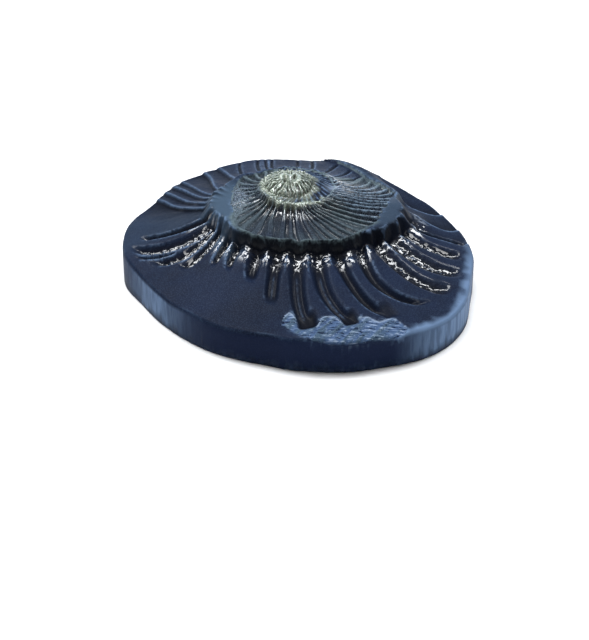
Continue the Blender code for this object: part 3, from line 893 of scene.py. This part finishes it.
def ramped(tree, value, low, high):
    """Share from 0 to 1 as the value goes from low to high."""
    node = add_node(tree, "ShaderNodeMapRange", {"Value": value, "From Min": low, "From Max": high})
    node.interpolation_type = "SMOOTHSTEP"
    return node.outputs["Result"]


def mark(tree, name):
    return add_node(tree, "ShaderNodeAttribute", attribute_name=name).outputs["Fac"]


def shade_group(name, inputs, outputs):
    """Empty shader node group with named sockets, and its input and output nodes."""
    group = bpy.data.node_groups.new(name, "ShaderNodeTree")
    for label, kind, default in inputs:
        socket = group.interface.new_socket(label, in_out="INPUT", socket_type=kind)
        if default is not None:
            socket.default_value = default
    for label, kind in outputs:
        group.interface.new_socket(label, in_out="OUTPUT", socket_type=kind)
    return group, group.nodes.new("NodeGroupInput").outputs, group.nodes.new("NodeGroupOutput").inputs


def grain_group():
    """Mineral grain: a speckle and a fine relief at a size that the material chooses."""
    group, given, made = shade_group(
        "mineral_grain",
        (("Vector", "NodeSocketVector", None), ("Scale", "NodeSocketFloat", 1000.0)),
        (("Speckle", "NodeSocketFloat"), ("Relief", "NodeSocketFloat"), ("Cloud", "NodeSocketFloat")),
    )
    fine = add_node(
        group, "ShaderNodeTexNoise", {"Vector": given["Vector"], "Scale": given["Scale"], "Detail": 3.0}
    )
    flecks = add_node(
        group, "ShaderNodeTexVoronoi", {"Vector": given["Vector"], "Scale": given["Scale"], "Randomness": 1.0}
    )
    cloud_scale = sums(group, "MULTIPLY", given["Scale"], 0.06)
    cloud = add_node(
        group, "ShaderNodeTexNoise", {"Vector": given["Vector"], "Scale": cloud_scale, "Detail": 4.0}
    )
    group.links.new(ramped(group, flecks.outputs["Distance"], 0.55, 0.15), made["Speckle"])
    group.links.new(fine.outputs["Fac"], made["Relief"])
    group.links.new(cloud.outputs["Fac"], made["Cloud"])
    return group


def wear_group():
    """Wear along edges: a colour rubbed paler where the surface bulges, broken up by noise."""
    group, given, made = shade_group(
        "edge_wear",
        (
            ("Colour", "NodeSocketColor", None),
            ("Worn Colour", "NodeSocketColor", None),
            ("Bulge", "NodeSocketFloat", 0.0),
            ("Breakup", "NodeSocketFloat", 0.5),
            ("Amount", "NodeSocketFloat", 0.5),
        ),
        (("Colour", "NodeSocketColor"), ("Mask", "NodeSocketFloat")),
    )
    broken = sums(group, "MULTIPLY", given["Bulge"], ramped(group, given["Breakup"], 0.3, 0.6))
    mask = sums(group, "MULTIPLY", broken, given["Amount"])
    group.links.new(mixed(group, mask, given["Colour"], given["Worn Colour"]), made["Colour"])
    group.links.new(mask, made["Mask"])
    return group


def placed(tree, group, inputs):
    return add_node(tree, "ShaderNodeGroup", inputs, node_tree=group).outputs


def opaque(colour):
    return (*colour, 1.0)


def painted(tree, under, mask, amount, colour):
    """Colour laid over another where a mask says, as strongly as the amount."""
    return mixed(tree, sums(tree, "MULTIPLY", mask, amount), under, opaque(colour))


def drawn_out_noise(tree, where, turn, stretch, scale):
    """Noise whose grains are drawn out along one direction."""
    mapping = {"Vector": where, "Rotation": turn, "Scale": stretch}
    place = add_node(tree, "ShaderNodeMapping", mapping, vector_type="POINT").outputs[0]
    noise = add_node(tree, "ShaderNodeTexNoise", {"Vector": place, "Scale": scale, "Detail": 3.0})
    return noise.outputs["Fac"]


def stone_colour(tree, finish, coarse, fine, streaks, wear):
    """Colour of the bare shale: clouds, pale wall with a painted reflection on its sides, pale shoulders,
    shade painted behind the shingle crests and between the fine ribs, highlights painted on the crests,
    grooves with painted shade under the lips, and rubbed edges.
    """
    clouds = ramped(tree, coarse["Cloud"], 0.35, 0.68)
    stone = mixed(tree, clouds, opaque(finish.shale_dark), opaque(finish.shale))
    stone = painted(tree, stone, fine["Speckle"], 0.07, finish.worn)
    stone = painted(tree, stone, mark(tree, "wall"), 0.75, finish.wall)
    # Pale wall on the sides, streaked: partly worn stone, partly a painted reflection
    pale = sums(tree, "MULTIPLY", mark(tree, "pale_side_and_sheen"), mark(tree, "wall"))
    streaked = sums(tree, "MULTIPLY_ADD", ramped(tree, streaks, 0.35, 0.65), 0.4, 0.6)
    stone = mixed(tree, sums(tree, "MULTIPLY", pale, streaked), stone, opaque(finish.worn))
    cloudy_whorl = sums(tree, "MULTIPLY", mark(tree, "inner_whorl"), ramped(tree, coarse["Cloud"], 0.2, 0.7))
    granules = sums(tree, "MULTIPLY", mark(tree, "granular"), fine["Speckle"])
    for mask, amount, colour in (
        (mark(tree, "pale_shoulder"), 0.8, finish.shoulder),
        # Painted shade behind the crests of the overlapping lands
        (mark(tree, "shingle"), 0.9, finish.groove),
        # Painted highlight along the crests of the overlapping lands
        (mark(tree, "crest"), 0.22, finish.worn),
        (cloudy_whorl, 0.8, finish.inner_whorl),
        # Painted shade between the fine ribs, in the dome's valleys and in its crack
        (mark(tree, "valley"), 0.8, finish.groove),
        (granules, 0.4, finish.chip_fleck),
        (mark(tree, "knot"), 0.5, finish.chip_fleck),
        (mark(tree, "rim_wear"), 0.7, finish.worn),
        # Near-black of the grooves and pits, and the painted shade under the lips that the groove attribute
        # also carries
        (mark(tree, "groove"), 0.95, finish.groove),
    ):
        stone = painted(tree, stone, mask, amount, colour)
    rubbed = {
        "Colour": stone,
        "Worn Colour": mixed(tree, mark(tree, "inner_whorl"), opaque(finish.worn), opaque(finish.lip)),
        "Bulge": mark(tree, "bulge"),
        "Breakup": coarse["Relief"],
        "Amount": 0.5,
    }
    return painted(tree, placed(tree, wear, rubbed)["Colour"], mark(tree, "lip"), 0.7, finish.lip)


def film_colour(tree, finish, fine):
    """Green-gold film: worn pale tops over a darker ground, with shade painted darkest in the valleys."""
    worn_tops = ramped(tree, fine["Relief"], 0.4, 0.65)
    film = mixed(tree, worn_tops, opaque(finish.film), opaque(finish.film_pale))
    return painted(tree, film, mark(tree, "valley"), 0.95, finish.film_dark)


def chip_colour(tree, finish, fine, where):
    """Fresh stone of the chip, scratched along its splinters and flecked."""
    turn = (0.0, 0.0, -np.radians(SPLINTER_ANGLE))
    scratches = drawn_out_noise(tree, where, turn, (0.18, 1.0, 1.0), 1900.0)
    splinters = ramped(tree, mark(tree, "splinters"), 0.25, 0.7)
    chip = mixed(tree, splinters, opaque(finish.shoulder), opaque(finish.chip))
    chip = mixed(tree, ramped(tree, scratches, 0.46, 0.34), chip, opaque(finish.shale))
    bright_grains = ramped(tree, fine["Relief"], 0.62, 0.72)
    flecks = sums(tree, "MAXIMUM", ramped(tree, scratches, 0.56, 0.70), bright_grains)
    chip = painted(tree, chip, flecks, 0.5, finish.chip_fleck)
    return painted(tree, chip, mark(tree, "chip_rim"), 0.8, finish.chip_fleck)


def shale_material(finish, grain, wear):
    """Blue-black shale: matte ground, wet-looking grooves, a green-gold film on the dome and a pale chip,
    with shade painted in hollows, valleys and under the lips and highlights painted on crests.
    """
    material = bpy.data.materials.new("shale")
    material.use_nodes = True
    tree = material.node_tree
    surface = tree.nodes["Principled BSDF"]
    where = add_node(tree, "ShaderNodeTexCoord").outputs["Object"]
    coarse = placed(tree, grain, {"Vector": where, "Scale": 1100.0})
    fine = placed(tree, grain, {"Vector": where, "Scale": 3600.0})
    streaks = drawn_out_noise(tree, where, (0.0, 0.45, 0.0), (1.0, 1.0, 0.15), 900.0)

    colour = stone_colour(tree, finish, coarse, fine, streaks, wear)
    film_patches = sums(tree, "MULTIPLY_ADD", ramped(tree, coarse["Cloud"], 0.3, 0.6), 0.3, 0.7)
    film_share = sums(tree, "MULTIPLY", mark(tree, "film"), film_patches)
    film = film_colour(tree, finish, fine)
    colour = mixed(tree, sums(tree, "MULTIPLY", film_share, 0.9), colour, film)
    colour = mixed(tree, mark(tree, "chip"), colour, chip_colour(tree, finish, fine, where))
    # Painted shade: hollows darkened halfway to the near-black groove colour
    colour = painted(tree, colour, mark(tree, "hollow_painted_shade"), 0.5, finish.groove)
    tree.links.new(colour, surface.inputs["Base Color"])

    gloss = sums(tree, "MAXIMUM", mark(tree, "wet"), sums(tree, "MULTIPLY", mark(tree, "film"), 0.8))
    gloss = sums(tree, "MULTIPLY", gloss, sums(tree, "SUBTRACT", 1.0, mark(tree, "chip")))
    broken_gloss = sums(tree, "MULTIPLY", gloss, ramped(tree, coarse["Relief"], 0.25, 0.5))
    tree.links.new(broken_gloss, surface.inputs["Coat Weight"])
    surface.inputs["Coat Roughness"].default_value = 0.08
    surface.inputs["Coat IOR"].default_value = 1.8
    surface.inputs["IOR"].default_value = 1.14
    rough = sums(tree, "MULTIPLY_ADD", fine["Relief"], 0.25, 0.42)
    rough = sums(tree, "SUBTRACT", rough, sums(tree, "MULTIPLY", gloss, 0.2))
    rough = sums(tree, "ADD", rough, sums(tree, "MULTIPLY", mark(tree, "chip"), 0.2))
    tree.links.new(rough, surface.inputs["Roughness"])
    tree.links.new(sums(tree, "MULTIPLY", film_share, 0.35), surface.inputs["Metallic"])

    sparkle = sums(tree, "MULTIPLY", coarse["Relief"], sums(tree, "MULTIPLY_ADD", gloss, 1.6, 0.12))
    wall_streaks = sums(tree, "MULTIPLY", streaks, mark(tree, "wall"))
    height = sums(tree, "ADD", sparkle, sums(tree, "MULTIPLY", fine["Relief"], 0.12))
    height = sums(tree, "ADD", height, sums(tree, "MULTIPLY", wall_streaks, 0.05))
    bump = add_node(tree, "ShaderNodeBump", {"Height": height, "Distance": 0.0002, "Strength": 1.0})
    tree.links.new(bump.outputs["Normal"], surface.inputs["Normal"])
    return material


def paper_material(studio, grain):
    """Matte paper of the studio floor."""
    material = bpy.data.materials.new("studio_paper")
    material.use_nodes = True
    tree = material.node_tree
    surface = tree.nodes["Principled BSDF"]
    where = add_node(tree, "ShaderNodeTexCoord").outputs["Object"]
    fibres = placed(tree, grain, {"Vector": where, "Scale": 400.0})
    shade = tuple(0.985 * channel for channel in studio.floor_colour)
    tree.links.new(
        mixed(tree, fibres["Cloud"], opaque(shade), opaque(studio.floor_colour)), surface.inputs["Base Color"]
    )
    surface.inputs["Roughness"].default_value = 0.9
    surface.inputs["Specular IOR Level"].default_value = 0.1
    return material


def depth_property(name, description, default, most):
    return bpy.props.FloatProperty(
        name=name, description=description, default=default, min=0.0, max=most, unit="LENGTH", precision=4
    )


def power_property(name, description, default):
    return bpy.props.FloatProperty(name=name, description=description, default=default, min=0.0, unit="POWER")


def colour_property(name, description, default):
    return bpy.props.FloatVectorProperty(
        name=name, description=description, default=default, subtype="COLOR", size=3, min=0.0, max=1.0
    )


class FossilRelief(bpy.types.PropertyGroup):
    """Depths of the relief that a user would change."""

    groove_depth: depth_property("Groove Depth", "Depth of the grooves of the big front ribs", 0.0015, 0.002)
    fine_rib_depth: depth_property("Fine Rib Depth", "Depth between the fine inner ribs", 0.0008, 0.0012)
    knob_height: depth_property("Knob Height", "Height of the knobs on top of the dome", 0.0008, 0.001)


class FossilFinish(bpy.types.PropertyGroup):
    """Colours of the stone."""

    shale: colour_property("Shale", "Matte blue-grey of the lands between the ribs", (0.0052, 0.0108, 0.030))
    shale_dark: colour_property("Dark Shale", "Darker clouds in the ground", (0.0036, 0.0070, 0.019))
    wall: colour_property("Side Wall", "Navy of the trimmed side wall", (0.0042, 0.0100, 0.035))
    # This near-black is also painted as shade: under the lips, behind the shingle crests, in the rib valleys
    # and in hollows
    groove: colour_property("Groove", "Near-black of the wet-looking rib grooves", (0.0012, 0.002, 0.005))
    shoulder: colour_property("Shoulder", "Teal-grey of the smooth shoulders", (0.045, 0.075, 0.115))
    # This pale colour is also painted as highlight on the shingle crests and, with wear, as reflection on the
    # pale wall sides
    worn: colour_property("Worn Edge", "Pale blue-grey where edges are rubbed", (0.14, 0.22, 0.36))
    inner_whorl: colour_property("Inner Whorl", "Grey-green of the fine ribs", (0.052, 0.074, 0.082))
    lip: colour_property("Whorl Edge", "Grey-green of the broken edges of the whorls", (0.13, 0.18, 0.20))
    film: colour_property("Film", "Green-gold mineral film on the dome", (0.20, 0.25, 0.195))
    film_pale: colour_property("Pale Film", "Worn tops of the film", (0.58, 0.64, 0.51))
    # This dark film colour is painted only as shade in the dome's valleys and crack
    film_dark: colour_property("Dark Film", "Film in the valleys of the dome", (0.035, 0.030, 0.020))
    chip: colour_property("Chip", "Fresh pale stone in the splintered chip", (0.052, 0.090, 0.175))
    chip_fleck: colour_property("Chip Fleck", "Brightest flecks of the chip", (0.42, 0.52, 0.68))


class StudioSettings(bpy.types.PropertyGroup):
    """Floor and lights of the studio."""

    floor_colour: colour_property("Floor", "Colour of the paper floor", (0.92, 0.92, 0.92))
    overhead_power: power_property("Overhead Light", "Small soft light above the disc", 3.2)
    window_power: power_property("Window Light", "Broad low light behind the disc", 2.1)
    side_power: power_property("Side Lights", "Power that both side lights are multiples of", 2.2)
    front_power: power_property("Front Light", "Small light above the camera", 1.0)
    surround: bpy.props.FloatProperty(
        name="Surround",
        description="Brightness of the pale room round the studio",
        default=0.10,
        min=0.0,
        max=2.0,
    )


class FOSSIL_OT_disc(bpy.types.Operator):
    """Carve the shale disc with its ammonite and give it its finish"""

    bl_idname = "fossil.disc"
    bl_label = "Shale Disc"

    def execute(self, context):
        settings = context.scene.fossil_relief
        sizes = {
            "groove": settings.groove_depth / MM,
            "fine_rib": settings.fine_rib_depth / MM,
            "knob": settings.knob_height / MM,
        }
        disc = spun_disc("shale_ammonite")
        points = MM * fossil_points(vertex_vectors(disc.data, "co"), sizes)
        disc.data.vertices.foreach_set("co", points.ravel())
        disc.data.update()
        disc.data.calc_loop_triangles()
        bpy.ops.object.modifier_add(type="DECIMATE")
        thinned = disc.modifiers[-1]
        thinned.ratio = TRIANGLES / len(disc.data.loop_triangles)
        thinned.use_collapse_triangulate = True
        bpy.ops.object.modifier_apply(modifier=thinned.name)
        bpy.ops.object.shade_smooth()
        add_marks(disc, sizes)
        grain = bpy.data.node_groups.get("mineral_grain") or grain_group()
        wear = bpy.data.node_groups.get("edge_wear") or wear_group()
        disc.data.materials.append(shale_material(context.scene.fossil_finish, grain, wear))
        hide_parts(CAD_NODE)
        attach(disc, "root")
        return {"FINISHED"}


def soft_light(name, place, size, power, colour):
    """Rectangular area light that faces the stone."""
    data = bpy.data.lights.new(name, "AREA")
    data.shape = "RECTANGLE"
    data.size, data.size_y = size
    data.energy = power
    data.color = colour
    lamp = bpy.data.objects.new(name, data)
    bpy.context.scene.collection.objects.link(lamp)
    lamp.location = place
    lamp.rotation_euler = (Vector(LIGHT_TARGET) - Vector(place)).to_track_quat("-Z", "Y").to_euler()


class FOSSIL_OT_studio(bpy.types.Operator):
    """Set up the pale floor, the soft lights and the camera"""

    bl_idname = "fossil.studio"
    bl_label = "Studio"

    def execute(self, context):
        studio = context.scene.fossil_studio
        bpy.ops.object.select_all(action="DESELECT")
        bpy.ops.mesh.primitive_plane_add(size=FLOOR_WIDTH, location=(0.0, 0.0, 0.0))
        floor = context.object
        floor.name = "studio_floor"
        grain = bpy.data.node_groups.get("mineral_grain") or grain_group()
        floor.data.materials.append(paper_material(studio, grain))

        world = bpy.data.worlds.new("pale_room")
        world.use_nodes = True
        background = world.node_tree.nodes["Background"]
        background.inputs["Color"].default_value = (1.0, 1.0, 1.0, 1.0)
        background.inputs["Strength"].default_value = studio.surround
        context.scene.world = world
        left_power, right_power = LEFT_SHARE * studio.side_power, RIGHT_SHARE * studio.side_power
        for name, place, size, power, colour in (
            ("overhead_light", (0.0, 0.08, 0.75), (0.26, 0.20), studio.overhead_power, OVERHEAD_COLOUR),
            ("left_light", (-0.40, 0.28, 0.72), (0.42, 0.42), left_power, SIDE_COLOUR),
            ("right_light", (0.40, 0.30, 0.72), (0.28, 0.28), right_power, SIDE_COLOUR),
            ("front_light", (0.08, -0.50, 0.60), (0.20, 0.20), studio.front_power, FRONT_COLOUR),
            ("window_light", (0.0, 0.80, 0.16), (1.3, 0.22), studio.window_power, WINDOW_COLOUR),
        ):
            soft_light(name, place, size, power, colour)

        lens = bpy.data.cameras.new("camera")
        lens.sensor_fit = "VERTICAL"
        lens.sensor_height = SENSOR_HEIGHT
        lens.lens = LENS_LENGTH
        lens.clip_start = 0.01
        camera = bpy.data.objects.new("camera", lens)
        camera.location = CAMERA_PLACE
        camera.rotation_euler = (np.radians(90.0 - CAMERA_ELEVATION), 0.0, 0.0)
        context.scene.collection.objects.link(camera)
        context.scene.camera = camera
        context.scene.view_settings.view_transform = "Standard"
        return {"FINISHED"}


class FOSSIL_PT_sidebar(bpy.types.Panel):
    """Lists the steps of the fossil and its settings"""

    bl_idname = "FOSSIL_PT_sidebar"
    bl_label = "Ammonite in Shale"
    bl_space_type = "VIEW_3D"
    bl_region_type = "UI"
    bl_category = "Fossil"

    def draw(self, context):
        column = self.layout.column()
        for settings in (context.scene.fossil_relief, context.scene.fossil_finish):
            for name in settings.__annotations__:
                column.prop(settings, name)
        column.operator("fossil.disc")
        for name in context.scene.fossil_studio.__annotations__:
            column.prop(context.scene.fossil_studio, name)
        column.operator("fossil.studio")


CLASSES = (
    FossilRelief,
    FossilFinish,
    StudioSettings,
    FOSSIL_OT_disc,
    FOSSIL_OT_studio,
    FOSSIL_PT_sidebar,
)


def register():
    for kind in CLASSES:
        bpy.utils.register_class(kind)
    bpy.types.Scene.fossil_relief = bpy.props.PointerProperty(type=FossilRelief)
    bpy.types.Scene.fossil_finish = bpy.props.PointerProperty(type=FossilFinish)
    bpy.types.Scene.fossil_studio = bpy.props.PointerProperty(type=StudioSettings)


def unregister():
    del bpy.types.Scene.fossil_relief
    del bpy.types.Scene.fossil_finish
    del bpy.types.Scene.fossil_studio
    for kind in reversed(CLASSES):
        bpy.utils.unregister_class(kind)


def main():
    register()
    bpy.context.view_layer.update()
    bpy.ops.fossil.disc()
    bpy.ops.fossil.studio()


if __name__ == "__main__":
    main()
